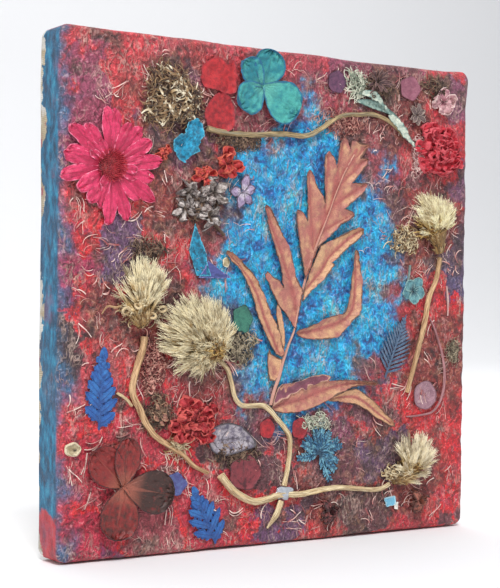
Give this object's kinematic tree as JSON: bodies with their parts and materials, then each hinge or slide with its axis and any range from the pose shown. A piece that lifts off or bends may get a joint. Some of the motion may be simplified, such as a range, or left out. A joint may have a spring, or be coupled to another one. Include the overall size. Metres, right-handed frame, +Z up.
{
  "type": "pressed flower frame",
  "caption": "Small square stretched canvas with painted fibre-paper ground and dried seed heads, a cut leaf, pressed flowers and fronds fixed on its face.",
  "frame": {"origin": "middle of the underside of the top stretcher bar, where a nail or a hook bears", "axes": "+Z up, +X to the right as seen from the front, -Y out of the decorated face"},
  "size_m": [0.2, 0.0297, 0.2],
  "materials": {
    "painted_canvas": "acrylic paint over fibrous paper on cloth, satin",
    "pine": "bare planed wood",
    "leaf_rib": "dry stem under a thin satin medium",
    "leaf_blade": "pressed plant piece under a thin satin medium",
    "seed_down": "fluffy, matte",
    "seed_bracts": "dry stem under a thin satin medium",
    "dry_stem": "dry stem under a thin satin medium",
    "golden_stem": "dry stem under a thin satin medium",
    "tangled_down": "tangled dry fibres, matte",
    "olive_stem": "dry stem under a thin satin medium",
    "daisy_petals": "pressed plant piece under a thin satin medium",
    "teal_sepals": "pressed plant piece under a thin satin medium",
    "maroon_sepals": "pressed plant piece under a thin satin medium",
    "carnation_petals": "pressed plant piece under a thin satin medium",
    "spiky_petals": "pressed plant piece under a thin satin medium",
    "red_floret": "pressed plant piece under a thin satin medium",
    "star_petals": "pressed plant piece under a thin satin medium",
    "grey_white_petals": "pressed plant piece under a thin satin medium",
    "pale_pink_petals": "pressed plant piece under a thin satin medium",
    "grey_brown_petals": "pressed plant piece under a thin satin medium",
    "teal_star_petals": "pressed plant piece under a thin satin medium",
    "tan_petals": "pressed plant piece under a thin satin medium",
    "red_petal": "pressed plant piece under a thin satin medium",
    "blue_petal": "pressed plant piece under a thin satin medium",
    "violet_petal": "pressed plant piece under a thin satin medium",
    "cobalt_frond": "pressed plant piece under a thin satin medium",
    "slate_frond": "pressed plant piece under a thin satin medium",
    "lacy_leaf": "pressed plant piece under a thin satin medium",
    "lilac_leaf": "pressed plant piece under a thin satin medium",
    "dark_petal": "pressed plant piece under a thin satin medium",
    "sage_leaf": "pressed plant piece under a thin satin medium",
    "pale_disc_petal": "pressed plant piece under a thin satin medium",
    "pink_twig": "dry stem under a thin satin medium"
  },
  "bodies": {
    "root": {"canvas": "painted_canvas", "stretcher_bar_top": "pine", "stretcher_bar_right": "pine", "stretcher_bar_bottom": "pine", "stretcher_bar_left": "pine", "leaf_stem": "leaf_rib", "leaf_tip_blade": "leaf_blade", "leaf_right_blade": "leaf_blade", "leaf_curved_blade": "leaf_blade", "leaf_left_blade": "leaf_blade", "leaf_long_blade": "leaf_blade", "leaf_low_blade": "leaf_blade", "leaf_lowest_blade": "leaf_blade", "left_seed_down": "seed_down", "left_seed_cup": "seed_bracts", "left_seed_stem": "dry_stem", "round_seed_down": "seed_down", "round_seed_cup": "seed_bracts", "round_seed_stem": "dry_stem", "split_stem_end": "dry_stem", "right_seed_down": "seed_down", "right_seed_cup": "golden_stem", "right_seed_stem": "golden_stem", "low_seed_down": "seed_down", "low_seed_cup": "golden_stem", "low_seed_stem": "dry_stem", "top_seed_tangle": "tangled_down", "top_seed_stem": "olive_stem", "pink_daisy": "daisy_petals", "teal_hydrangea": "teal_sepals", "maroon_hydrangea": "maroon_sepals", "red_carnation": "carnation_petals", "red_crumpled_flower": "carnation_petals", "spiky_flower": "spiky_petals", "red_floret_left": "red_floret", "red_floret_middle": "red_floret", "red_floret_low": "red_floret", "star_floret": "star_petals", "white_floret": "grey_white_petals", "pink_floret": "pale_pink_petals", "brown_floret": "grey_brown_petals", "teal_star_flower": "teal_star_petals", "dry_tan_flower": "tan_petals", "red_petal_pair": "red_petal", "red_petal_single": "red_petal", "red_petal_low": "red_petal", "blue_crumpled_petal": "blue_petal", "blue_pointed_petal": "blue_petal", "violet_pointed_petal": "violet_petal", "left_frond": "cobalt_frond", "low_frond": "cobalt_frond", "grey_frond": "slate_frond", "lacy_leaf": "lacy_leaf", "lilac_leaf": "lilac_leaf", "dark_round_petal": "dark_petal", "sage_leaf": "sage_leaf", "pale_disc_petal": "pale_disc_petal", "arched_twig": "pink_twig"}
  },
  "joints": []
}
